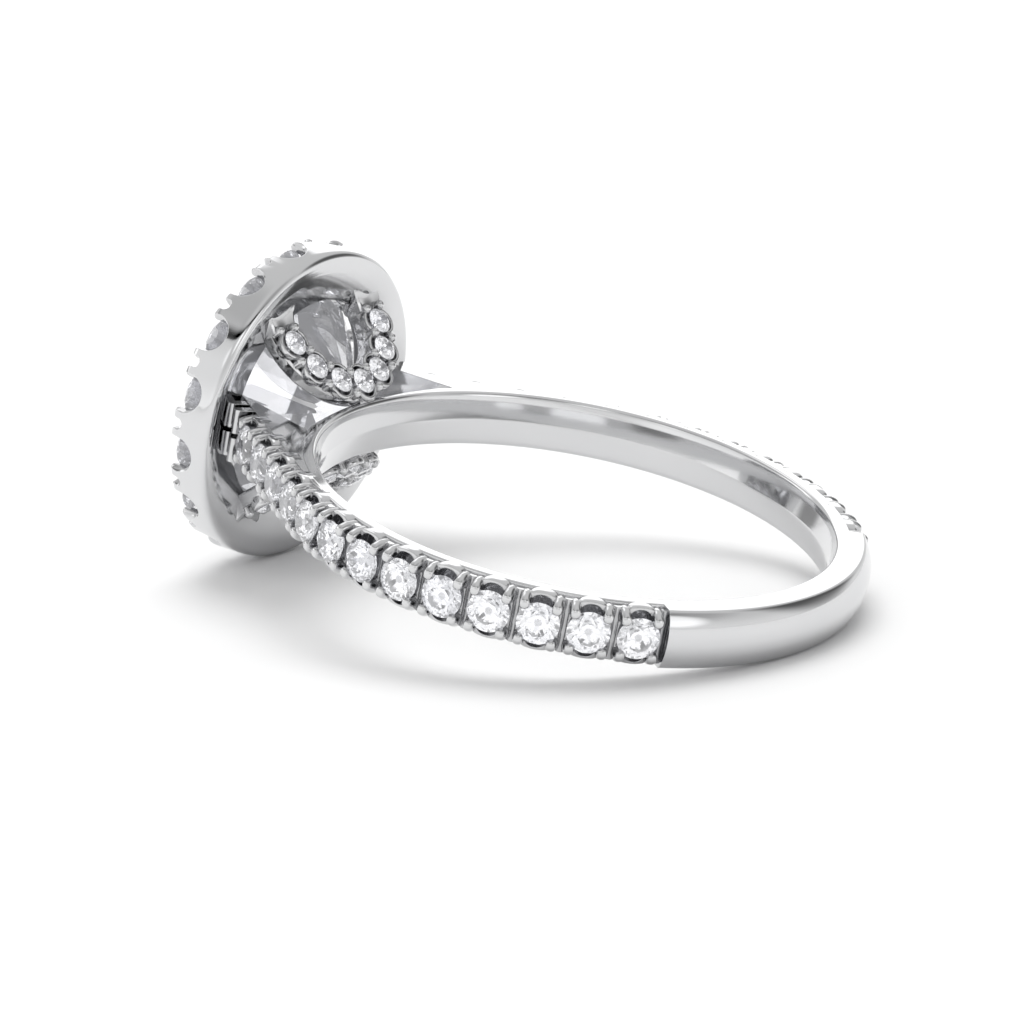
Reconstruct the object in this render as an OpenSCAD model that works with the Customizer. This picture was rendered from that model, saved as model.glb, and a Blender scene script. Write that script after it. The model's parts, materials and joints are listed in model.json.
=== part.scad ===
// Halo ring: a domed shank with stones along both shoulders, a round halo,
// a large centre stone and a gallery arch of small stones on each side.
// The ring is drawn about the axis of its finger hole, with the head on +X,
// and then laid on a table, where it rests on the halo and the back of the shank.

/* [Finger hole] */
// Width across the finger hole at its narrowest
hole_d = 16.2; // [14:0.1:21]
// Length of the straight wall in the middle of the hole
hole_land = 0.4; // [0.4:0.1:1.2]
// How much the hole opens on each side towards its two edges
hole_ease = 0.15; // [0.08:0.01:0.25]

/* [Shank] */
// Width of the shank along the finger
shank_w = 1.85; // [1.6:0.05:2.6]
// Thickness of the shank at its edges, at the back
shank_t = 0.84; // [0.6:0.02:1.4]
// Extra thickness at the sides, from an outside turned off centre
shank_grow = 0.33; // [0.1:0.01:0.6]
// Height of the dome over the edges of the shank
shank_dome = 0.33; // [0.15:0.01:0.45]

/* [Shoulders] */
// Diameter of each shoulder stone
shoulder_d = 1.3; // [1.1:0.05:1.4]
// Distance from one shoulder stone to the next
shoulder_pitch = 1.5; // [1.48:0.01:1.7]
// Number of stones on the round part of each shoulder
round_stones = 9; // [4:1:11]
// Number of stones on the straight part of each shoulder
straight_stones = 4; // [2:1:4]
// Direction from the head where the shoulder leaves the circle
shoulder_turn = 56.5; // [54:0.5:60]
// Distance from that turn to the first stone of the straight part
straight_start = 0.6; // [0.4:0.05:0.9]
// Height of the shoulder stones' widest line above the hole's narrowest
shoulder_rise = 1.1; // [1:0.02:1.4]
// Depth of metal left under the shoulder stones' widest line
shoulder_seat = 0.35; // [0.25:0.01:0.5]
// Gap sawn between the prongs of two neighbouring stones
saw_gap = 0.16; // [0.08:0.01:0.25]
// Distance from the middle of the head to each shoulder's inner end
shoulder_gap = 3.64; // [3.3:0.02:4]

/* [Halo] */
// Radius of the halo at its front edge
halo_r = 5.35; // [5:0.01:6]
// Radius of the halo's rear corner, which touches the table
halo_rim_r = 5.27; // [4.9:0.01:5.9]
// Thickness of the halo along the direction of the head
halo_t = 1.19; // [0.9:0.01:1.6]
// Distance from the middle of the finger hole to the halo's rear face
halo_x = 10.55; // [10.3:0.05:11.5]
// Number of halo stones
halo_count = 16; // [12:4:20]
// Diameter of each halo stone
halo_stone_d = 1.5; // [1.2:0.05:1.55]
// Width of the notch under each halo stone
halo_notch_w = 1.0; // [0.7:0.05:1.2]

/* [Centre stone] */
// Diameter of the centre stone
centre_d = 7; // [6:0.05:7.1]
// Height of the centre stone's widest line above the halo's rear face
centre_lift = 1.15; // [1:0.05:1.6]
// Radius of each claw that holds the centre stone
claw_r = 0.4; // [0.3:0.02:0.5]

/* [Gallery] */
// Number of stones on each gallery arch
gallery_count = 7; // [3:2:7]
// Diameter of each gallery stone
gallery_stone_d = 0.86; // [0.7:0.02:0.9]
// Radius of the arch along its stones
gallery_r = 2.28; // [2.1:0.02:2.5]
// Width of the arch's bar
gallery_w = 1.16; // [1.1:0.02:1.3]
// Thickness of the arch's bar
gallery_t = 0.8; // [0.65:0.05:1]
// Slope of the arch away from the plane of the shank
gallery_slope = 43.5; // [35:0.5:50]

/* [Fit] */
// Clearance between each stone and the metal
stone_gap = 0.03; // [0.02:0.01:0.06]

/* [Hidden] */
$fn = 64;

metal = "gainsboro";
gem = "aliceblue";

// Shares of a round brilliant's diameter
table_share = 0.56;
crown_share = 0.15;
girdle_share = 0.03;
pavilion_share = 0.42;
gem_sides = 8;
centre_sides = 16;

// Finger hole and shank
hole_r = hole_d / 2;
edge_r = hole_r + hole_ease;
half_w = shank_w / 2;
ease_run = half_w - hole_land / 2;
ease_r = (ease_run * ease_run + hole_ease * hole_ease) / (2 * hole_ease);
back_edge = edge_r + shank_t;
shank_r = back_edge + shank_grow;
dome_r = (half_w * half_w + shank_dome * shank_dome) / (2 * shank_dome);
rail_t = 0.4;
rail_r = hole_r + rail_t;

// How far one solid is sunk into another to be fused with it
root = 0.2;

// Shoulders, drawn on the +Y side
pave_r = hole_r + shoulder_rise;
seat_r = pave_r - shoulder_seat;
arc_step = shoulder_pitch / pave_r * 180 / PI;
pave_end = shoulder_turn + (round_stones + 0.5 - straight_start / shoulder_pitch) * arc_step;
straight_run = straight_start + straight_stones * shoulder_pitch;
seat_step = 0.02;
post_r = 0.19;
post_inset = 0.02;
post_along = shoulder_pitch / 2 - saw_gap / 2 - post_r;
post_across = half_w - post_r - post_inset;
post_tip = 0.2;
neck_w = 0.4;
end_drift = 0.31;
end_sink = 0.78;
end_foot = edge_r - end_sink;

// Halo, turned about the direction of the head
dish_depth = 0.05;
rim_bevel = 0.12;
rim_w = 0.7;
wall_w = 0.35;
lip_w = 0.13;
plate_share = 0.55;
halo_back = halo_x + dish_depth;
rim_x = halo_x + rim_bevel;
halo_front = halo_x + halo_t;
plate_x = halo_x + plate_share * halo_t;
dish_r = halo_rim_r - rim_w;
flat_r = halo_rim_r - rim_w / 2;
open_r = centre_d / 2 + stone_gap;
wall_r = halo_r - wall_w;
ring_r = halo_r - halo_stone_d / 2 - lip_w;
stone_step = 360 / halo_count;
halo_girdle = halo_front;
notch_rise = 0.02;
saw_r = 0.13;
halo_post_r = 0.17;
halo_post_out = 0.6;
halo_post_side = 0.66;
halo_post_tip = 0.35;
inner_post_r = 0.2;
inner_post_at = centre_d / 2 + 1.4 * inner_post_r;

// Centre stone and claws
centre_x = halo_x + centre_lift;
claw_bite = 0.05;
claw_at = centre_d / 2 + claw_r - claw_bite;
claw_tip = 1.0;

// Gallery arches, drawn on the +Z side
gallery_x = rail_r + 0.225 * rail_t;
gallery_z = half_w + 0.6 * gallery_w;
gallery_step = 26;
gallery_post_r = 0.13;
gallery_post_tip = 0.12;
gallery_girdle = -0.06;
foot_w = 0.9;
foot_z = half_w + root;

// Resting place: the line from the halo's rear corner to the shank's back edge
rest_tilt = atan2(halo_rim_r - half_w, rim_x + back_edge);
rest_lift = back_edge * sin(rest_tilt) + half_w * cos(rest_tilt);
back_reach = (back_edge + shank_dome - dome_r) * cos(rest_tilt) + dome_r;
table_x = centre_x + (girdle_share / 2 + crown_share) * centre_d;
table_r = table_share * centre_d / 2;
head_reach = table_x * cos(rest_tilt) + table_r * sin(rest_tilt);
rest_shift = (head_reach - back_reach) / 2;

// Point at a length from the shoulder's turn, at a height over its stones' line
function shoulder_angle(s) = s > 0 ? shoulder_turn : shoulder_turn - s / pave_r * 180 / PI;
function shoulder_point(s, h) =
  let (a = shoulder_angle(s), run = max(s, 0))
  [
    (pave_r + h) * cos(a) + run * sin(shoulder_turn),
    (pave_r + h) * sin(a) - run * cos(shoulder_turn)
  ];

// Lays the ring from its own axes onto the table, head towards -X
module at_rest() {
  translate([rest_shift, 0, rest_lift]) rotate([0, rest_tilt, 0]) rotate([0, 0, 180]) children();
}

// Repeats its children for both ways of an axis
module both(axis) {
  children();
  mirror(axis) children();
}

// Points of one flat ring of corners
function ring_points(r, z, sides) =
  [for (i = [0 : sides - 1]) [r * cos(360 / sides * i), r * sin(360 / sides * i), z]];

// Round cut stone with its table up and its widest line at the origin's height
module cut_stone(d, sides) {
  r = d / 2;
  low = -girdle_share * d / 2;
  high = girdle_share * d / 2;
  top = high + crown_share * d;
  tip = low - pavilion_share * d;
  points = concat(
    ring_points(r * table_share, top, sides),
    ring_points(r, high, sides),
    ring_points(r, low, sides),
    [[0, 0, tip]]
  );
  crown = [for (i = [0 : sides - 1]) let (j = (i + 1) % sides) [i, j, sides + j, sides + i]];
  belt = [for (i = [0 : sides - 1]) let (j = (i + 1) % sides)
    [sides + i, sides + j, 2 * sides + j, 2 * sides + i]];
  pavilion = [for (i = [0 : sides - 1]) let (j = (i + 1) % sides) [2 * sides + i, 2 * sides + j, 3 * sides]];
  table = [[for (i = [sides - 1 : -1 : 0]) i]];
  polyhedron(points = points, faces = concat(table, crown, belt, pavilion));
}

// Round post with a domed tip, standing on the origin
module post(r, h) {
  rotate_extrude() {
    square([r, h - r]);
    translate([0, h - r]) intersection() {
      circle(r);
      square(r);
    }
  }
}

// Space of the finger, straight in the middle and opening to both edges
module finger_space() {
  rotate_extrude() difference() {
    translate([0, -halo_r]) square([edge_r, 2 * halo_r]);
    translate([hole_r, -hole_land / 2]) square([halo_t, hole_land]);
    both([0, 1]) translate([hole_r + ease_r, hole_land / 2]) intersection() {
      circle(ease_r);
      translate([-ease_r, -hole_land / 4]) square([ease_r, ease_run + hole_land / 4]);
    }
  }
}

// Domed back of the shank, up to the last shoulder stones
module shank_back() {
  wedge = 2 * shank_r;
  stop = pave_end + saw_gap / pave_r * 180 / PI;
  intersection() {
    translate([shank_grow, 0, 0]) rotate_extrude() intersection() {
      translate([hole_r - shank_grow - shank_t, -half_w]) square([halo_x, shank_w]);
      translate([shank_r + shank_dome - dome_r, 0]) circle(dome_r);
    }
    translate([0, 0, -shank_w]) linear_extrude(2 * shank_w) polygon([
      [0, 0],
      [wedge * cos(stop), wedge * sin(stop)],
      [-wedge, wedge],
      [-wedge, -wedge],
      [wedge * cos(stop), -wedge * sin(stop)]
    ]);
  }
}

// Thin rail that closes the circle and carries the shoulders' stones
module hoop() {
  rotate_extrude() translate([hole_r - shank_t, -half_w]) square([rail_r - hole_r + shank_t, shank_w]);
}

// One shoulder: the round seat, the straight rise and the neck to the halo
module shoulder() {
  far_out = 2 * shank_r;
  before = shoulder_point(-shoulder_pitch, -shoulder_seat - root);
  turn = shoulder_point(0, seat_step - shoulder_seat);
  last = shoulder_point(straight_run, seat_step - shoulder_seat);
  start = shoulder_turn - arc_step / 2;
  neck_x = plate_x - root;
  neck_y = shoulder_gap + neck_w;
  translate([0, 0, -half_w]) linear_extrude(shank_w) {
    intersection() {
      circle(seat_r);
      polygon([
        [0, 0],
        [far_out * cos(start), far_out * sin(start)],
        [-far_out * cos(start), far_out],
        [far_out * cos(pave_end + arc_step), far_out * sin(pave_end + arc_step)]
      ]);
    }
    polygon([
      [0, 0],
      before,
      turn,
      last,
      [halo_back, neck_y],
      [neck_x, neck_y],
      [neck_x, shoulder_gap],
      [end_foot, shoulder_gap + end_drift]
    ]);
  }
}

// Four prongs round each stone of one shoulder, and one more pair beside the halo
module shoulder_posts() {
  for (k = [-round_stones : straight_stones]) {
    s = straight_start + k * shoulder_pitch;
    p = shoulder_point(s, -shoulder_seat - root);
    translate([p[0], p[1], 0]) rotate([0, 0, shoulder_angle(s)])
      for (i = k < straight_stones ? [-1, 1] : [1], j = [-1, 1])
        translate([0, i * post_along, j * post_across]) rotate([0, 90, 0])
          post(post_r, shoulder_seat + root + post_tip);
  }
}

// Drilled hole under the point of each stone of one shoulder
module shoulder_drills() {
  for (k = [-round_stones : straight_stones - 1]) {
    s = straight_start + k * shoulder_pitch;
    p = shoulder_point(s, -pavilion_share * shoulder_d - 2 * stone_gap);
    translate([p[0], p[1], 0]) rotate([0, 0, shoulder_angle(s)]) rotate([0, 90, 0])
      cylinder(r = shoulder_d / 4, h = shoulder_d);
  }
}

module shoulder_stones() {
  for (k = [-round_stones : straight_stones - 1]) {
    s = straight_start + k * shoulder_pitch;
    p = shoulder_point(s, 0);
    translate([p[0], p[1], 0]) rotate([0, 0, shoulder_angle(s)]) rotate([0, 90, 0])
      cut_stone(shoulder_d, gem_sides);
  }
}

// Turns its children so that their Z is the direction of the head
module headwards() {
  rotate([0, 90, 0]) children();
}

// Ring of the halo, dished at the back, with a low wall round its stones
module halo_ring() {
  headwards() rotate_extrude() polygon([
    [open_r, plate_x],
    [open_r, halo_back + root],
    [dish_r, halo_back],
    [flat_r, halo_x],
    [halo_rim_r, rim_x],
    [halo_r, halo_front],
    [wall_r, halo_front],
    [wall_r, plate_x]
  ]);
}

// Places its children at each halo stone, X outwards and Z to the front
module at_halo_stones() {
  for (i = [0 : halo_count - 1])
    headwards() rotate([0, 0, (i + 0.5) * stone_step]) translate([ring_r, 0, 0]) children();
}

// Prongs of the halo: two outside each stone and one inside each pair
module halo_posts() {
  foot_x = plate_x - root / 2;
  post_h = halo_girdle + halo_post_tip - plate_x;
  at_halo_stones() for (j = [-1, 1])
    translate([halo_post_out, j * halo_post_side, foot_x]) post(halo_post_r, post_h);
  for (i = [0 : halo_count - 1])
    headwards() rotate([0, 0, i * stone_step]) translate([inner_post_at, 0, foot_x])
      post(inner_post_r, post_h);
}

// Space of the halo's stones, the notches beside them and the saw cuts between
module halo_cuts() {
  at_halo_stones() {
    translate([0, 0, plate_x]) cylinder(r = halo_stone_d / 2 + stone_gap, h = halo_t);
    translate([0, 0, halo_girdle - pavilion_share * halo_stone_d - 3 * stone_gap])
      cylinder(r = halo_stone_d / 4, h = halo_t);
    translate([0, 0, plate_x + halo_notch_w / 2 + notch_rise]) rotate([0, 90, 0])
      cylinder(r = halo_notch_w / 2, h = halo_t);
  }
  for (i = [0 : halo_count - 1])
    headwards() rotate([0, 0, i * stone_step]) translate([wall_r - root, 0, halo_front]) rotate([0, 90, 0])
      cylinder(r = saw_r, h = halo_t);
}

// Four claws that stand round the centre stone
module claws() {
  foot_x = plate_x - root;
  for (a = [45 : 90 : 315])
    headwards() rotate([0, 0, a]) translate([claw_at, 0, foot_x]) post(claw_r, centre_x + claw_tip - foot_x);
}

// Space of the centre stone, a little larger than the stone
module centre_space() {
  r = centre_d / 2 + stone_gap;
  low = centre_x - girdle_share * centre_d / 2;
  high = centre_x + girdle_share * centre_d / 2;
  rise = 2 * crown_share / (1 - table_share);
  fall = 2 * pavilion_share;
  headwards() rotate_extrude() polygon([
    [0, low - r * fall - stone_gap],
    [r, low - stone_gap],
    [r, high + stone_gap],
    [0, high + stone_gap + r * rise]
  ]);
}

// Places its children on the upper arch's front face, X up the slope, Z outwards
module on_gallery() {
  translate([gallery_x, 0, gallery_z]) rotate([0, -gallery_slope, 0]) children();
}

// Places its children at each stone of the upper arch, half a step on for its prongs
module along_gallery(first, last) {
  for (i = [first : last])
    on_gallery() translate([gallery_r, 0, 0]) rotate([0, 0, 180 + i * gallery_step])
      translate([gallery_r, 0, 0]) children();
}

// One U-shaped arch that rises from the rail to the halo, with its prongs
module gallery_arch() {
  side = (gallery_count - 1) / 2;
  arm = halo_x;
  intersection() {
    union() {
      on_gallery() translate([gallery_r, 0, -gallery_t]) linear_extrude(gallery_t) difference() {
        union() {
          circle(gallery_r + gallery_w / 2);
          translate([0, -gallery_r - gallery_w / 2]) square([arm, 2 * gallery_r + gallery_w]);
        }
        circle(gallery_r - gallery_w / 2);
        translate([0, -gallery_r + gallery_w / 2]) square([arm + 1, 2 * gallery_r - gallery_w]);
      }
      along_gallery(-side - 0.5, side + 0.5) for (j = [-1, 1])
        translate([j * (gallery_w / 2 - gallery_post_r - post_inset), 0, -gallery_t / 2])
          post(gallery_post_r, gallery_t / 2 + gallery_post_tip);
    }
    translate([0, -halo_r, 0]) cube([plate_x - root, 2 * halo_r, halo_r]);
  }
}

// Pockets of one arch's stones
module gallery_pockets() {
  side = (gallery_count - 1) / 2;
  along_gallery(-side, side)
    translate([0, 0, gallery_girdle - pavilion_share * gallery_stone_d - 2 * stone_gap])
      cylinder(r = gallery_stone_d / 2 + stone_gap, h = gallery_t);
}

module gallery_stones() {
  side = (gallery_count - 1) / 2;
  along_gallery(-side, side) translate([0, 0, gallery_girdle]) cut_stone(gallery_stone_d, gem_sides);
}

// Small foot on the rail that the two arches stand on
module gallery_foot() {
  translate([hole_r - shank_t, -foot_w / 2, -foot_z])
    cube([rail_r - hole_r + shank_t, foot_w, 2 * foot_z]);
}

module mount() {
  color(metal) at_rest() difference() {
    union() {
      hoop();
      shank_back();
      both([0, 1, 0]) {
        shoulder();
        shoulder_posts();
      }
      halo_ring();
      halo_posts();
      claws();
      both([0, 0, 1]) gallery_arch();
      gallery_foot();
    }
    finger_space();
    both([0, 1, 0]) shoulder_drills();
    halo_cuts();
    centre_space();
    both([0, 0, 1]) gallery_pockets();
  }
}

module centre_stone() {
  color(gem) at_rest() headwards() translate([0, 0, centre_x]) cut_stone(centre_d, centre_sides);
}

module halo_stones() {
  color(gem) at_rest() at_halo_stones() translate([0, 0, halo_girdle]) cut_stone(halo_stone_d, gem_sides);
}

module near_shoulder_stones() {
  color(gem) at_rest() shoulder_stones();
}

module far_shoulder_stones() {
  color(gem) at_rest() mirror([0, 1, 0]) shoulder_stones();
}

module upper_gallery_stones() {
  color(gem) at_rest() gallery_stones();
}

module lower_gallery_stones() {
  color(gem) at_rest() mirror([0, 0, 1]) gallery_stones();
}

mount();
centre_stone();
halo_stones();
near_shoulder_stones();
far_shoulder_stones();
upper_gallery_stones();
lower_gallery_stones();
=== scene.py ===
# %% [markdown]
# # Halo ring: the looks
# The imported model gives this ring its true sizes. This lesson dresses it: every piece of
# metal is modelled again with the cuts, rims and prongs that a setter leaves, and every
# stone gets the facets of a real brilliant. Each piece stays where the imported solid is.

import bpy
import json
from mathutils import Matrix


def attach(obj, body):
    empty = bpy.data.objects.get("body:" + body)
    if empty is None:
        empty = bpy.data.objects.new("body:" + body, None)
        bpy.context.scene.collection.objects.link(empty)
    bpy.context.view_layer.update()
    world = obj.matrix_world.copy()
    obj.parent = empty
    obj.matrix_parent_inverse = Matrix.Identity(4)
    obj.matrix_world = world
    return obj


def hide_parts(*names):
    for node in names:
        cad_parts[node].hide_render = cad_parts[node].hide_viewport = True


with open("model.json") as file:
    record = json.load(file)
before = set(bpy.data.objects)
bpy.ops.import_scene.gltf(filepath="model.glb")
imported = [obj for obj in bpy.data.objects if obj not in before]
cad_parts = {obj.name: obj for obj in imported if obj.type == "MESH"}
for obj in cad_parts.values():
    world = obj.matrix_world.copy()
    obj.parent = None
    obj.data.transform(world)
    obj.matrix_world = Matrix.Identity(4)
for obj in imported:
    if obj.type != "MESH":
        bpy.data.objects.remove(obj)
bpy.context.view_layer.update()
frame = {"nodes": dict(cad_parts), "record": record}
print("nodes:", ", ".join(sorted(frame["nodes"])))

# %% [markdown]
# ## The ring's own axes
# A jeweller measures a ring about its finger hole, and so does this lesson: X points from
# the hole's middle to the head, Z runs along the finger, and lengths are in millimetres.
# The record states where that hole lies on the table, so one matrix takes a finished
# piece from the bench to its place.

# %% From the bench to the table
import json
import math

import bmesh
import bpy
from mathutils import Matrix, Vector

hole = next(m for m in frame["record"]["mounts"] if m["name"] == "finger_hole")
finger = Vector(hole["axis"]).normalized()
side = Vector((0, -1, 0))
head = side.cross(finger)
AXES = Matrix((head, side, finger)).transposed().to_4x4()
TABLE = Matrix.Translation(hole["pos_m"]) @ AXES @ Matrix.Scale(0.001, 4)
print("the head points to", [round(v, 3) for v in head])

# %% [markdown]
# ## Skins over rings of points
# Nearly every piece here is a skin: rings of points, one after another, joined by faces.
# A swept band, a tapering prong and a turned rim differ only in their rings. A shape is
# kept as plain points and faces until it is finished, so that copies of it are cheap.

# %% Skins and copies
def skin(rings, loop=False):
    count = len(rings[0])
    points = [Vector(p) for ring in rings for p in ring]
    last = len(rings) if loop else len(rings) - 1
    faces = []
    for i in range(last):
        a, b = i * count, (i + 1) % len(rings) * count
        for j in range(count):
            k = (j + 1) % count
            faces.append((a + j, a + k, b + k, b + j))
    if not loop:
        faces.append(tuple(range(count))[::-1])
        faces.append(tuple(range(last * count, last * count + count)))
    return points, faces


def together(shapes):
    points, faces = [], []
    for some_points, some_faces in shapes:
        base = len(points)
        points += some_points
        faces += [tuple(base + i for i in face) for face in some_faces]
    return points, faces


def moved(shape, matrix):
    return [matrix @ p for p in shape[0]], shape[1]


def turn(degrees, axis):
    return Matrix.Rotation(math.radians(degrees), 4, axis)


def slide(x, y, z):
    return Matrix.Translation((x, y, z))


def polar(radius, degrees):
    a = math.radians(degrees)
    return radius * math.cos(a), radius * math.sin(a)


def spaced(first, last, count):
    return [first + (last - first) * i / (count - 1) for i in range(count)]


# %% [markdown]
# ## Turned, sawn and drilled
# A turned piece is a profile carried round an axis. Sawing and drilling are Boolean
# modifiers with the exact solver, as a setter's saw and bur cut the real metal. The cut
# shape is read back at once, so that no modifier is left on a finished piece.

# %% Lathe, plate, rod and saw
def turned(profile, steps=192):
    rings = []
    for i in range(steps):
        c, s = polar(1, 360 / steps * i)
        rings.append([(r * c, r * s, z) for r, z in profile])
    return skin(rings, loop=True)


def plate(outline, low, high):
    return skin([[(x, y, low) for x, y in outline], [(x, y, high) for x, y in outline]])


def rod(radius, low, high, far_radius=None, sides=40):
    rings = []
    for r, z in ((radius, low), (far_radius or radius, high)):
        rings.append([(*polar(r, 360 / sides * i), z) for i in range(sides)])
    return skin(rings)


def as_object(name, shape):
    mesh = bpy.data.meshes.new(name)
    mesh.from_pydata([tuple(p) for p in shape[0]], [], shape[1])
    work = bmesh.new()
    work.from_mesh(mesh)
    bmesh.ops.recalc_face_normals(work, faces=work.faces)
    work.to_mesh(mesh)
    work.free()
    thing = bpy.data.objects.new(name, mesh)
    bpy.context.scene.collection.objects.link(thing)
    return thing


def cut(shape, *cutters):
    body, blade = as_object("body", shape), as_object("blade", together(cutters))
    tool = body.modifiers.new("cut", "BOOLEAN")
    tool.object, tool.operation, tool.solver = blade, "DIFFERENCE", "EXACT"
    tool.use_self = True
    ready = body.evaluated_get(bpy.context.evaluated_depsgraph_get())
    mesh = ready.to_mesh()
    points = [v.co.copy() for v in mesh.vertices]
    faces = [tuple(p.vertices) for p in mesh.polygons]
    ready.to_mesh_clear()
    for spare in (body, blade):
        bpy.data.objects.remove(spare)
    return points, faces


# %% [markdown]
# ## Writing a finish as sums
# A finish is a small network of nodes. Here each socket is wrapped in a Wire, and Python's
# own plus, minus and times add the Math nodes, so that a finish reads as a short sum.
# Every other node comes from one method: its type, its settings and its inputs.

# %% Wires and finishes
class Wire:
    def __init__(self, finish, socket):
        self.finish, self.socket = finish, socket

    def math(self, operation, a, b):
        return self.finish.node("ShaderNodeMath", {"operation": operation}, {0: a, 1: b})

    def __add__(self, other):
        return self.math("ADD", self, other)

    def __sub__(self, other):
        return self.math("SUBTRACT", self, other)

    def __rsub__(self, other):
        return self.math("SUBTRACT", other, self)

    def __mul__(self, other):
        return self.math("MULTIPLY", self, other)

    __radd__, __rmul__ = __add__, __mul__


class Finish:
    def __init__(self, name, kind="materials", output="ShaderNodeOutputMaterial"):
        self.data = getattr(bpy.data, kind).new(name)
        self.data.use_nodes = True
        self.tree = self.data.node_tree
        self.tree.nodes.clear()
        self.output = self.tree.nodes.new(output)

    def node(self, kind, settings={}, inputs={}, out=0):
        node = self.tree.nodes.new(kind)
        for key, value in settings.items():
            setattr(node, key, value)
        for key, value in inputs.items():
            if isinstance(value, Wire):
                self.tree.links.new(value.socket, node.inputs[key])
            else:
                node.inputs[key].default_value = value
        return Wire(self, node.outputs[out])

    def done(self, wire):
        self.tree.links.new(wire.socket, self.output.inputs["Surface"])
        return self.data


# %% [markdown]
# ## White gold
# The metal is polished and plated, so it is a mirror whose look comes from what it
# reflects. Real polish still isn't even: the wheel leaves faint clouds and hairlines.
# Clouds of noise feed the roughness, hairlines feed a faint bump, and ambient occlusion
# paints shade into the colour: the seats under the stones and the other recesses, where
# less light falls, are painted darker. This painted shade reaches further on the halo,
# and furthest on the shoulders and the gallery, which stand deep between the band and
# the halo. A Bevel node rounds every edge a little, as the polishing wheel does.

# %% White gold
# painted shade: seats sets how dark the ambient occlusion paints the recesses, and reach how far
# it looks
def white_gold(name, edge=0.035, seats=0.4, reach=0.6):
    finish = Finish(name)
    place = finish.node("ShaderNodeTexCoord", out="Object")
    clouds = finish.node("ShaderNodeTexNoise", {}, {"Vector": place, "Scale": 420, "Detail": 3})
    lines = finish.node("ShaderNodeMapping", {}, {"Vector": place, "Scale": (900, 900, 14000)})
    hair = finish.node("ShaderNodeTexNoise", {}, {"Vector": lines, "Scale": 1, "Detail": 2})
    open_sky = finish.node(
        "ShaderNodeAmbientOcclusion", {"samples": 4}, {"Distance": reach / 1000}, out="AO"
    )
    light = finish.node(
        "ShaderNodeMix",
        {"data_type": "RGBA"},
        {"Factor": clouds, "A": (0.66, 0.665, 0.675, 1), "B": (0.71, 0.71, 0.715, 1)},
        out="Result",
    )
    # painted shade: the colour is mixed towards dark grey where ambient occlusion finds the
    # recesses closed in
    shade = finish.node(
        "ShaderNodeMix",
        {"data_type": "RGBA"},
        {"Factor": open_sky * seats + (1 - seats), "A": (0.10, 0.10, 0.11, 1), "B": light},
        out="Result",
    )
    rounded = finish.node("ShaderNodeBevel", {"samples": 4}, {"Radius": edge / 1000})
    polish = finish.node(
        "ShaderNodeBump",
        {},
        {"Strength": 0.03, "Distance": 0.00001, "Height": hair, "Normal": rounded},
    )
    metal = finish.node(
        "ShaderNodeBsdfPrincipled",
        {},
        {
            "Base Color": shade,
            "Metallic": 1.0,
            "Roughness": clouds * 0.07 + 0.045,
            "Normal": polish,
        },
    )
    return finish.done(metal)


gold = white_gold("white_gold")
# copies with more painted shade: the shoulders and gallery get the deepest, the halo less
deep_shade_gold = white_gold("white_gold_deep_shade", seats=0.7, reach=1.6)
halo_shade_gold = white_gold("white_gold_halo_shade", seats=0.6, reach=1.2)
print("metal:", gold.name, deep_shade_gold.name, halo_shade_gold.name)

# %% [markdown]
# ## Diamond
# A cut stone is clear, and its pattern is the room bent and mirrored inside it. So the
# finish is a refracting one with diamond's own index, and the facets do the rest. A faint
# cloud keeps the tint from being one flat colour. Real stones send back light from far
# more bounces than a render follows, so a painted glow, an emission the real stone
# doesn't have, makes up for the rest, and the small ones get more of it.

# %% Diamond
def diamond(name, painted_glow):
    finish = Finish(name)
    place = finish.node("ShaderNodeTexCoord", out="Object")
    cloud = finish.node("ShaderNodeTexNoise", {}, {"Vector": place, "Scale": 900, "Detail": 1})
    tint = finish.node(
        "ShaderNodeMix",
        {"data_type": "RGBA"},
        {"Factor": cloud, "A": (0.93, 0.94, 1.0, 1), "B": (1.0, 1.0, 1.0, 1)},
        out="Result",
    )
    # painted glow: the stone emits a little light of its tint, though it is no lamp
    stone = finish.node(
        "ShaderNodeBsdfPrincipled",
        {},
        {
            "Base Color": tint,
            "Roughness": 0.0,
            "IOR": 2.42,
            "Transmission Weight": 1.0,
            "Emission Color": tint,
            "Emission Strength": painted_glow,
        },
    )
    return finish.done(stone)


clear = diamond("diamond", 0.045)
bright = diamond("small_diamond", 0.055)
print("stones:", clear.name, bright.name)

# %% [markdown]
# ## From shape to piece
# A finished piece is moved from the bench to the table, gets its finish, and keeps smooth
# shading apart from its real edges. It rides on the ring's one body and stands for the
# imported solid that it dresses, which is then hidden.

# %% Finishing a piece
made = {}


def dress(name, shape, finish, slot, *nodes, smooth=True):
    thing = as_object(name, shape)
    mesh = thing.data
    mesh.transform(TABLE)
    mesh.materials.append(finish)
    mesh.polygons.foreach_set("use_smooth", [smooth] * len(mesh.polygons))
    if smooth:
        mesh.set_sharp_from_angle(angle=math.radians(32))
    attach(thing, "root")
    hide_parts(*nodes)
    made[name] = sum(len(p.vertices) - 2 for p in mesh.polygons)
    print(name, "has", made[name], "triangles")
    return thing


# %% [markdown]
# ## The band
# The band is one loop of metal with a comfort fit: inside, it slopes away from a soft
# crest in the middle to both edges, which the photograph shows as two strips that mirror
# different things. Outside, its back is domed, and along the shoulders it is cut down flat
# to carry the stones. One section of points is carried round the finger, and only its
# outside changes with the direction.

# %% The band's section
HOLE, HALF = 8.1, 0.925  # the hole's radius at the crest, and half the band's width
EASE, CREST = 0.15, 0.03  # how far the comfort fit opens, and half the soft crest


def comfort(z):
    away = abs(z) if abs(z) > CREST else (z**2 + CREST**2) / (2 * CREST)
    share = away / HALF
    return HOLE + EASE * (0.85 * share + 0.15 * share**2)


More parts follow.
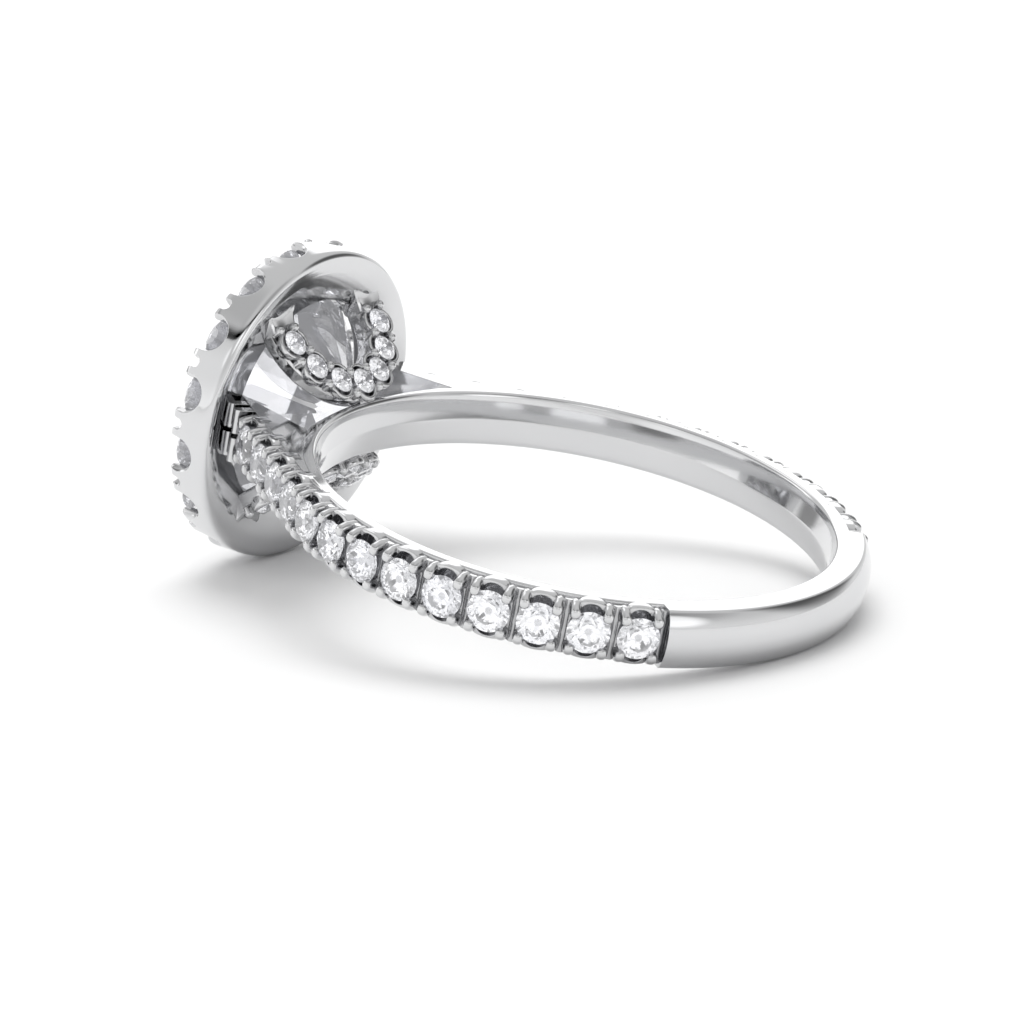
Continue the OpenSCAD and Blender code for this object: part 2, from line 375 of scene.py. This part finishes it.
def corner(a, tip, b, count=5):
    bend = []
    for t in spaced(0, 1, count):
        first, middle, last = (1 - t) ** 2, 2 * t * (1 - t), t**2
        bend.append(tuple(first * p + middle * q + last * r for p, q, r in zip(a, tip, b)))
    return bend


def band_section(outer, dome):
    bow = (HALF**2 + dome**2) / (2 * dome)
    inner, rim = 0.13, 0.07

    def outside(z):
        return outer + dome - bow + math.sqrt(bow**2 - z**2)

    slope = spaced(HALF - inner, 2 * CREST, 5)[1:]
    crest = spaced(-CREST, CREST, 5)
    lip, mouth = comfort(HALF - inner), comfort(HALF)
    loop = [(comfort(z), z) for z in [-z for z in slope] + crest + slope[::-1]]
    loop += corner((lip, HALF - inner), (mouth, HALF), (mouth + inner, HALF))
    loop += corner((outer - rim, HALF), (outer, HALF), (outside(HALF - rim), HALF - rim))
    loop += [(outside(z), z) for z in spaced(HALF - rim, -HALF + rim, 19)][1:-1]
    loop += corner((outside(HALF - rim), rim - HALF), (outer, -HALF), (outer - rim, -HALF))
    loop += corner((mouth + inner, -HALF), (mouth, -HALF), (lip, inner - HALF))
    return loop


print("the comfort fit opens the hole by", round(comfort(HALF) - comfort(0), 3), "mm a side")

# %% The band carried round the finger
BACK, OFF = 9.415, 0.33  # the back's circle at its edges, and how far it lies off the middle
DOME = 0.33  # how far the back bulges between its edges
PAVE, PITCH = 9.2, 1.5  # the circle of the shoulder stones, and from stone to stone
ROUND, STRAIGHT = 9, 4  # stones on that circle, and on the straight after it
TURN, START = 56.5, 0.6  # where the straight begins, and how far on its first stone sits
RAIL, RISE, UNDER_HEAD = 8.5, 0.22, 34  # the thin rail, its rise to the row, half its angle
STEP = math.degrees(PITCH / PAVE)
PAVE_END = TURN + (ROUND + 0.5 - START / PITCH) * STEP
BACK_START = PAVE_END + math.degrees(0.05 / PAVE)


def back_radius(angle):
    x, y = polar(OFF, angle)
    return x + math.sqrt(BACK**2 - y**2)


rings = []
for angle in spaced(BACK_START, 360 - BACK_START, 61):
    rings.append((angle, band_section(back_radius(angle), DOME)))
for angle in spaced(360 - BACK_START + 0.15, 360 + BACK_START - 0.15, 151):
    share = min(abs(angle - 360), UNDER_HEAD) / UNDER_HEAD
    rings.append((angle, band_section(RAIL + RISE * min(1, share**3 * 3), 0.01)))
band = skin([[(*polar(r, a), z) for r, z in loop] for a, loop in rings], loop=True)
dress("band", band, gold, "white_gold", "mount")

# %% [markdown]
# ## One cut-down seat
# The shoulders are set in the cut-down style. Each stone has a seat of its own between two
# saw cuts: a low wall follows the stone's round edge on both sides, its inside is bored
# out, and four prongs lean over the girdle. One seat is modelled with care, and the whole
# row is copies of it. Here X points outwards from the stone's girdle, Y runs along the row
# and Z across it.

# %% Prong and seat
OUT = turn(90, "Y")


def bean(half_y, half_z, count=20, square=2.3):
    loop = []
    for i in range(count):
        c, s = polar(1, 360 / count * i)
        loop.append(
            (
                half_y * math.copysign(abs(c) ** (2 / square), c),
                half_z * math.copysign(abs(s) ** (2 / square), s),
            )
        )
    return loop


def prong(y, side):
    rings = []
    for h, middle, half_y, half_z in (
        (-0.62, 0.61, 0.17, 0.24),
        (-0.30, 0.61, 0.18, 0.25),
        (-0.15, 0.605, 0.178, 0.24),
        (-0.02, 0.59, 0.172, 0.215),
        (0.07, 0.575, 0.165, 0.19),
        (0.13, 0.565, 0.15, 0.16),
        (0.17, 0.56, 0.12, 0.12),
        (0.19, 0.555, 0.065, 0.06),
    ):
        rings.append([(h, y + a, side * middle + b) for a, b in bean(half_y, half_z)])
    return skin(rings)


def seat_outline(reach, inset):
    half = 0.67 - inset
    edge = []
    for y in (-half, -0.44, *spaced(-0.42, 0.42, 17), 0.44, half):
        bulge = math.sqrt(max(0, 1 - (y / 0.42) ** 2))
        edge.append((y, reach - inset - 0.11 * (1 - bulge)))
    return edge + [(-y, -z) for y, z in edge]


def seat(reach):
    rings = []
    for h, inset in (
        (-0.66, 0),
        (-0.45, 0),
        (-0.3, 0),
        (-0.24, 0.01),
        (-0.2, 0.035),
        (-0.185, 0.07),
    ):
        rings.append([(h, y, z) for y, z in seat_outline(reach, inset)])
    end = [(y, reach - 0.43 + z) for y, z in bean(0.34, 0.33, 32) if z > -0.001]
    slot = skin([[(h, y, z) for y, z in end + [(-y, -z) for y, z in end]] for h in (-0.46, 0.1)])
    bur = moved(rod(0.2, -0.5, 0.02, 0.68), OUT)
    wall = cut(skin(rings), bur, slot)
    prongs = [prong(y, side) for y in (-0.49, 0.49) for side in (-1, 1)]
    return together([wall, *prongs])


one_seat = seat(reach=0.93)
print("one seat has", len(one_seat[1]), "faces")

# %% [markdown]
# ## The shoulders
# From the back, each shoulder follows the band's circle for nine stones, and then runs
# straight for four more, up to the halo. A plate as wide as the band carries those seats
# and rises between them, so that only their rims and prongs stand out of it. A low ridge
# with a rounded top is left in each saw cut, as the saw leaves it on both sides. Two
# pairs of posts with rounded tops join the last seat to the halo's back, with dark slots
# between. They get the plain white gold, with less painted shade in its recesses, so
# they stay brighter. The far shoulder mirrors the near one.

# %% The row of seats
def row_point(s, h):
    angle = TURN if s > 0 else TURN - math.degrees(s / PAVE)
    x, y = polar(PAVE + h, angle)
    run = max(s, 0)
    dx, dy = polar(run, TURN - 90)
    return Vector((x + dx, y + dy, 0)), angle


def on_row(k):
    point, angle = row_point(START + k * PITCH, 0)
    return Matrix.Translation(point) @ turn(angle, "Z")


ROW = range(-ROUND, STRAIGHT)
print("stones on one shoulder:", len(ROW))

# %% Both shoulders
def round_topped(foot, start, top, half):
    left = corner((start, -half), (top, -half), (top, 0))
    right = corner((top, 0), (top, half), (start, half))
    return [(foot, -half), *left, *right[1:], (foot, half)]


run_end = START + (STRAIGHT + 0.3) * PITCH
web = [polar(8.44, a) for a in spaced(66, 30, 13)]
web += [(7.47, 3.95), (11.0, 3.3)]
for s, h in ((run_end, -0.4), (2.0, -0.4), (0.0, -0.4), (-1.5, -0.5)):
    web.append(tuple(row_point(s, h)[0].xy))
post = round_topped(foot=-0.5, start=0.0, top=0.2, half=0.15)
pair = together([plate(post, low, low + 0.8) for low in (-0.88, 0.08)])
posts = together([moved(pair, on_row(STRAIGHT) @ slide(0, y, 0)) for y in (0.55, -0.03)])
ridge = plate(round_topped(foot=-0.6, start=-0.36, top=-0.24, half=0.13), -0.84, 0.84)
shoulder = together(
    [plate(web, -0.92, 0.92)]
    + [moved(one_seat, on_row(k)) for k in ROW]
    + [moved(ridge, on_row(k) @ slide(0, PITCH / 2, 0)) for k in ROW]
)
MIRROR = Matrix.Diagonal((1, -1, 1, 1))
dress("near_shoulder", shoulder, deep_shade_gold, "white_gold", "mount")
dress("far_shoulder", moved(shoulder, MIRROR), deep_shade_gold, "white_gold", "mount")
# the posts take the plain white gold, with the least painted shade
dress("head_posts", together([posts, moved(posts, MIRROR)]), gold, "white_gold", "mount")

# %% [markdown]
# ## The halo
# The halo is a turned ring with a flared wall, dished at the back. Sixteen round notches
# open its wall beside the stones, with a bevelled lip, and a small groove between them
# parts the prongs. Both open wider towards the front, so that the edge runs in waves. The
# ring is turned first and then cut with all its cutters at once.

# %% The halo's ring
HALO_ROW, GIRDLE, COUNT = 4.47, 11.75, 16  # the stones' circle, height and number


def round_head(step):
    return turn(step * 360 / COUNT, "Z")


profile = [(3.56, 11.55), (3.56, 10.83), (3.6, 10.785), (4.55, 10.605)]
profile += [(4.6, 10.595), (4.98, 10.55)]
profile += corner((5.05, 10.55), (5.262, 10.555), (5.285, 10.95), 11)
profile += [(5.31, 11.2), (5.347, 11.66)] + corner((5.345, 11.74), (5.31, 12.03), (5.12, 12.03), 7)
profile += corner((5.08, 12.03), (5.0, 12.03), (4.98, 11.9), 4) + [(4.97, 11.6), (3.6, 11.6)]

# %% Its notches and saw cuts
def groove(radii, mouth, steps):
    rings = []
    for x, r in radii:
        section = [polar(r, a) for a in spaced(180, 360, steps)]
        rim = [(r + mouth * t**2, 0.3 * t) for t in spaced(0, 1.2, 7)][1:]
        section += rim + [(r + 2 * mouth, 1), (-r - 2 * mouth, 1)]
        section += [(-y, z) for y, z in rim[::-1]]
        rings.append([(x, *p) for p in section])
    return skin(rings)


notch = groove(((4.7, 0.56), (5.2, 0.56), (5.25, 0.585), (5.5, 0.84)), 0.07, 25)
saw = groove(((4.6, 0.12), (5.2, 0.13), (5.3, 0.17), (5.45, 0.3)), 0.15, 13)
cutters = []
for i in range(COUNT):
    at_stone = round_head(i + 0.5)
    cutters.append(moved(notch, at_stone @ slide(0, 0, 11.73)))
    cutters.append(moved(rod(0.22, 11.1, 11.73, 0.76), at_stone @ slide(HALO_ROW, 0, 0)))
    cutters.append(moved(rod(0.76, 11.7, 12.3), at_stone @ slide(HALO_ROW, 0, 0)))
    cutters.append(moved(saw, round_head(i) @ slide(0, 0, 11.78)))
halo = cut(turned(profile), *cutters)
print("the halo has", len(halo[1]), "faces")


# %% The halo's prongs
def bead(radius, low, high, sides=20):
    rings = [[(*polar(radius, 360 / sides * i), low) for i in range(sides)]]
    for a in spaced(0, 84, 8):
        r, h = polar(radius, a)
        rings.append([(*polar(r, 360 / sides * i), high - radius + h) for i in range(sides)])
    return skin(rings)


beads = []
for i in range(COUNT):
    at_stone = round_head(i + 0.5)
    for y in (-0.66, 0.66):
        beads.append(moved(bead(0.16, 11.3, 12.05), at_stone @ slide(HALO_ROW + 0.6, y, 0)))
    beads.append(moved(bead(0.2, 11.2, 12.07), round_head(i) @ slide(3.79, 0, 0)))
dress("halo", moved(together([halo, *beads]), OUT), halo_shade_gold, "white_gold", "mount")

# %% [markdown]
# ## The claws
# Four claws hold the centre stone. Each rises from the halo's plate outside the girdle,
# bends over the crown and thins to its tip. It is a pipe along a bent line, with a radius
# of its own at each point.

# %% A pipe along a bent line
def pipe(path, radii, across=(0, 1, 0), sides=20):
    path, across = [Vector(p) for p in path], Vector(across)
    rings = []
    for i, (point, radius) in enumerate(zip(path, radii)):
        along = (path[min(i + 1, len(path) - 1)] - path[max(i - 1, 0)]).normalized()
        over = across.cross(along)
        circle = [polar(radius, 360 / sides * j) for j in range(sides)]
        rings.append([point + a * across + b * over for a, b in circle])
    return skin(rings)


CLAW = (  # out from the head's middle, up along it, and the claw's radius there
    (3.95, 10.9, 0.34),
    (3.93, 11.4, 0.34),
    (3.9, 11.75, 0.34),
    (3.84, 11.98, 0.33),
    (3.7, 12.14, 0.31),
    (3.5, 12.25, 0.27),
    (3.3, 12.31, 0.21),
    (3.17, 12.34, 0.1),
)
claw = pipe([(out, 0, up) for out, up, _ in CLAW], [radius for _, _, radius in CLAW])
claws = together([moved(claw, turn(a, "Z")) for a in (45, 135, 225, 315)])
dress("claws", moved(claws, OUT), gold, "white_gold", "mount")

# %% [markdown]
# ## The gallery
# On each side of the finger, a small U-shaped arch rises from the band to the halo, with
# seven stones on its face. A round rim stands off each stone on both sides, and every two
# neighbours share a pair of prongs. A bar with rounded edges carries them, and its fluted
# arms flare where they meet the halo's back. Below, the arch just touches the band's edge,
# and a small pin is soldered in there.

# %% One arch's bar
ARCH, ARCH_STEP = 2.28, 26  # the arch's radius, and the angle from stone to stone
ARCH_X, ARCH_Z, SLOPE = 8.59, 1.62, 43.5  # its lowest point, and how far it leans
HALO_BACK = 10.97  # where its arms end inside the halo
ON_ARCH = slide(ARCH_X, 0, ARCH_Z) @ turn(-SLOPE, "Y")


def on_arch(i):
    return ON_ARCH @ slide(ARCH, 0, 0) @ turn(180 + i * ARCH_STEP, "Z") @ slide(ARCH, 0, -0.06)


def arm_end(v):
    c, s = polar(1, SLOPE)
    return (HALO_BACK - ARCH_X + s * v) / c


def bar_ring(point, outwards, wide, end=None, top=-0.3):
    ring = []
    left = corner((-0.5, -0.68), (-0.5, -0.8), (-0.38, -0.8))
    right = corner((0.38, -0.8), (0.5, -0.8), (0.5, -0.68))
    flute = [(u, top - 0.12 + 0.12 * (u / 0.43) ** 2) for u in spaced(0.43, -0.43, 9)]
    for u, v in [(-0.5, top - 0.05), *left, *right, (0.5, top - 0.05), *flute]:
        p = Vector(point) + Vector(outwards) * u * wide
        x = p.x if end is None else p.x + (arm_end(v) - p.x) * end
        ring.append((x, p.y, v))
    return ring


BAR = 1.14  # the bar's width
ARM = (  # how far along the arm, its width there, and the height of its face
    (0.0, BAR, -0.3),
    (0.02, 1.15, -0.14),
    (0.15, 1.16, -0.12),
    (0.28, 1.18, -0.09),
    (0.4, 1.22, -0.05),
    (0.5, 1.27, 0.0),
    (0.58, 1.34, 0.06),
    (0.64, 1.4, 0.12),
    (1.0, 1.42, 0.14),
)
rings = [bar_ring((ARCH, -ARCH, 0), (0, -1, 0), w, e, top) for e, w, top in ARM[::-1]]
for a in spaced(270, 90, 41):
    c, s = polar(1, a)
    rings.append(bar_ring((ARCH + ARCH * c, ARCH * s, 0), (c, s, 0), BAR))
rings += [bar_ring((ARCH, ARCH, 0), (0, 1, 0), w, e, top) for e, w, top in ARM]
bar = moved(skin(rings), ON_ARCH)
print("the bar has", len(bar[1]), "faces")


# %% Its rims, prongs and pin
def round_rim(shift, radius, wall, spread):
    section = corner((-wall, -0.1), (-wall, 0), (0, 0))
    section += corner((0, 0), (wall, 0), (wall, -0.1))[1:]
    section += [(wall, -0.17), (-0.02, -0.38), (-wall, -0.4)]
    rings = []
    for a in spaced(-spread, spread, 23):
        c, s = polar(1, a)
        rings.append([(shift + (radius + r) * c, (radius + r) * s, z) for r, z in section])
    return skin(rings)


rim = round_rim(0.17, 0.425, 0.065, 88)
rims = together([rim, moved(rim, turn(180, "Z"))])
seats = [moved(rims, on_arch(i)) for i in range(-3, 4)]
shared = together([moved(bead(0.165, -0.5, 0.13), slide(x, 0, 0)) for x in (-0.37, 0.37)])
seats += [moved(shared, on_arch(i - 0.5)) for i in range(-3, 5)]
pin = moved(rod(0.13, -0.38, 0.38), slide(8.48, 0, 0.93) @ turn(90, "X"))
arch = together([bar, pin, *seats])
UNDER = Matrix.Diagonal((1, 1, -1, 1))
dress("upper_gallery", arch, deep_shade_gold, "white_gold", "mount")
dress("lower_gallery", moved(arch, UNDER), deep_shade_gold, "white_gold", "mount")

# %% [markdown]
# ## The brilliant cut
# A round brilliant has 57 facets: a table, eight stars, eight kites and sixteen halves on
# the crown, and sixteen halves and eight mains below. The kites fix everything else, since
# each is a plane through the table's corner and the girdle. The girdle keeps its wave,
# because each half facet cuts it a little lower between its ends.

# %% A stone of diameter one
def brilliant(fine=2, table=0.28, crown=0.15, girdle=0.03, depth=0.42):
    top, tip, r = girdle / 2 + crown, -girdle / 2 - depth, 0.5
    points, faces = [], []

    def point(radius, angle, z):
        points.append(Vector((*polar(radius, angle), z)))
        return len(points) - 1

    half = math.cos(math.radians(22.5))
    drop = crown / (r - table)
    star_r = (table * half + r) / 2 * 0.98
    star_z = top - (star_r * half - table) * drop
    low_r = 0.13
    low_z = tip + low_r * half * depth / r
    culet = point(0, 0, tip)
    corners = [point(table, 45 * k, top) for k in range(8)]
    stars = [point(star_r, 45 * k + 22.5, star_z) for k in range(8)]
    lows = [point(low_r, 45 * k + 22.5, low_z) for k in range(8)]

    def rim(z, inner_r, inner_z):
        edge = []
        for i in range(16 * fine):
            away = abs((i / fine) % 1 - 0.5) * 22.5
            chord = r * math.cos(math.radians(11.25))
            bulge = r * math.cos(math.radians(away)) - chord
            edge.append(point(r, 22.5 * i / fine, z + (inner_z - z) * -bulge / (chord - inner_r)))
        return edge

    upper = rim(girdle / 2, star_r, star_z)
    lower = rim(-girdle / 2, low_r, low_z)
    count = 16 * fine
    faces.append(tuple(corners))
    for k in range(8):
        n, at = (k + 1) % 8, 2 * fine * k
        faces.append((corners[k], stars[k], corners[n]))
        faces.append((corners[k], stars[k - 1], upper[at], stars[k]))
        faces.append((culet, lows[k], lower[at], lows[k - 1]))
        for first in (at, at + fine):
            edge = [(first + i) % count for i in range(fine + 1)]
            faces.append((stars[k], *[upper[i] for i in edge]))
            faces.append((lows[k], *[lower[i] for i in edge]))
    for i in range(count):
        n = (i + 1) % count
        faces.append((upper[i], upper[n], lower[n], lower[i]))
    return points, faces


small_stone, large_stone = brilliant(2), brilliant(4)
print("a brilliant has", len(small_stone[1]), "faces with its girdle")


def stones(places, diameter, stone=small_stone):
    field = []
    for i, place in enumerate(places):
        field.append(moved(stone, place @ turn(17 * i, "Z") @ Matrix.Scale(diameter, 4)))
    return together(field)


# %% [markdown]
# ## Setting the stones
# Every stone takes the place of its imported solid: on the shoulders, round the halo, on
# the two arches and in the claws. A setter drops each one in at a turn of its own, so
# they don't all flash at once. A field of equal stones is one mesh.

# %% The stones in their places
centre = stones([OUT @ slide(0, 0, 11.7)], diameter=7, stone=large_stone)
halo_places = [OUT @ round_head(i + 0.5) @ slide(HALO_ROW, 0, GIRDLE) for i in range(COUNT)]
halo_row = stones(halo_places, diameter=1.5)
near_row = stones([on_row(k) @ OUT for k in ROW], diameter=1.3)
arch_row = stones([on_arch(i) for i in range(-3, 4)], diameter=0.86)
for name, field, finish, node in (
    ("centre_brilliant", centre, clear, "centre_stone"),
    ("halo_brilliants", halo_row, bright, "halo_stones"),
    ("near_shoulder_brilliants", near_row, bright, "near_shoulder_stones"),
    ("far_shoulder_brilliants", moved(near_row, MIRROR), bright, "far_shoulder_stones"),
    ("upper_gallery_brilliants", arch_row, bright, "upper_gallery_stones"),
    ("lower_gallery_brilliants", moved(arch_row, UNDER), bright, "lower_gallery_stones"),
):
    dress(name, field, finish, "diamond", node, smooth=False)
print("triangles in all:", sum(made.values()))

# %% [markdown]
# ## Table, light and camera
# The ring lies on a plain white table in a bright tent. Polished metal shows whatever
# stands round it, so the tent isn't evenly white: soft round patches of light and shade
# stand in it, and they draw the metal's forms. Each row of the list gives a patch's
# azimuth and height in degrees, the angles where its full strength ends and where it
# fades out, and its strength, which is below zero for a shade. A dark seam of the tent,
# an arc between two circles, draws the sweep on the halo's wall. The camera looks over
# the ring's back at the head. Its place, its aim and its long lens come from a fit of the
# packed ring's edges to the photograph.

# %% The white table
def tabletop():
    finish = Finish("table")
    place = finish.node("ShaderNodeTexCoord", out="Object")
    grain = finish.node("ShaderNodeTexNoise", {}, {"Vector": place, "Scale": 60, "Detail": 4})
    tone = finish.node(
        "ShaderNodeMix",
        {"data_type": "RGBA"},
        {"Factor": grain, "A": (0.95, 0.95, 0.95, 1), "B": (0.98, 0.98, 0.98, 1)},
        out="Result",
    )
    paint = finish.node("ShaderNodeBsdfPrincipled", {}, {"Base Color": tone, "Roughness": 0.9})
    return finish.done(paint)


sheet = as_object("table", plate([polar(0.9, a) for a in range(0, 360, 6)], -0.01, 0))
sheet.data.materials.append(tabletop())
print("the table's sides:", len(sheet.data.vertices) // 2)

# %% The tent
LAMPS = (
    (130, 20, 20, 27, 0.9),
    (147, 55, 5, 14, 0.8),
    (-120, 12, 28, 50, 0.26),
    (-120, 60, 10, 32, -0.15),
    (-166, 25, 8, 15, 0.8),
    (-88, 32, 3, 9, 0.3),
    (-50, 34, 5, 12, 0.7),
    (-10, 17, 6, 16, 0.8),
    (-5, 38, 5, 30, -0.28),
    (178, 2, 4, 11, -0.6),
    (58, 22, 12, 29, -0.62),
)
PLAIN = 0.74  # how bright the tent is between its patches


def tent():
    finish = Finish("tent", "worlds", "ShaderNodeOutputWorld")
    way = finish.node("ShaderNodeTexCoord", out="Generated")

    def patch(azimuth, height, inner, outer):
        c, s = polar(1, azimuth)
        flat, up = polar(1, height)
        aim = (c * flat, s * flat, up)
        near = finish.node(
            "ShaderNodeVectorMath", {"operation": "DOT_PRODUCT"}, {0: way, 1: aim}, out="Value"
        )
        return finish.node(
            "ShaderNodeMapRange",
            {"interpolation_type": "SMOOTHSTEP"},
            {"Value": near, "From Min": polar(1, outer)[0], "From Max": polar(1, inner)[0]},
        )

    height = finish.node("ShaderNodeSeparateXYZ", {}, {"Vector": way}, out="Z")
    horizon = finish.node(
        "ShaderNodeMapRange",
        {"interpolation_type": "SMOOTHSTEP"},
        {"Value": height, "From Min": 0.35, "From Max": 0.0, "To Max": 0.2},
    )
    glow = horizon + PLAIN
    for azimuth, up, inner, outer, strength in LAMPS:
        glow = glow + patch(azimuth, up, inner, outer) * strength
    seam = patch(-100, -75, 123, 131) - patch(-100, -75, 119.5, 121)
    glow = glow - seam * patch(-85, 45, 40, 70) * 0.75
    light = finish.node("ShaderNodeBackground", {}, {"Color": glow, "Strength": 1.0})
    return finish.done(light)


bpy.context.scene.world = tent()
print("the tent has", len(LAMPS), "patches and a seam")

# %% The lamp
def softbox(name, place, aim, size, power):
    lamp = bpy.data.lights.new(name, "AREA")
    lamp.shape, lamp.size, lamp.energy = "DISK", size, power
    thing = bpy.data.objects.new(name, lamp)
    thing.location = place
    thing.rotation_mode = "QUATERNION"
    thing.rotation_quaternion = (Vector(aim) - Vector(place)).to_track_quat("-Z", "Y")
    thing.visible_glossy = False
    bpy.context.scene.collection.objects.link(thing)
    print("the lamp", name, "is", round(1000 * size), "mm across")


softbox("overhead", place=(-0.05, 0.05, 0.3), aim=(0, 0, 0), size=0.25, power=0.42)

# %% The camera
eye = bpy.data.cameras.new("eye")
eye.sensor_width, eye.lens, eye.clip_start, eye.clip_end = 36, 140.625, 0.001, 10
camera = bpy.data.objects.new("eye", eye)
camera.location = (0.069442, -0.100752, 0.032846)
camera.rotation_mode = "QUATERNION"
camera.rotation_quaternion = Vector((-0.5534, 0.7980, -0.2387)).to_track_quat("-Z", "Y")
bpy.context.scene.collection.objects.link(camera)
bpy.context.scene.camera = camera
bpy.context.scene.view_settings.view_transform = "Standard"
print("the camera's height in mm:", round(1000 * camera.location.z, 1))
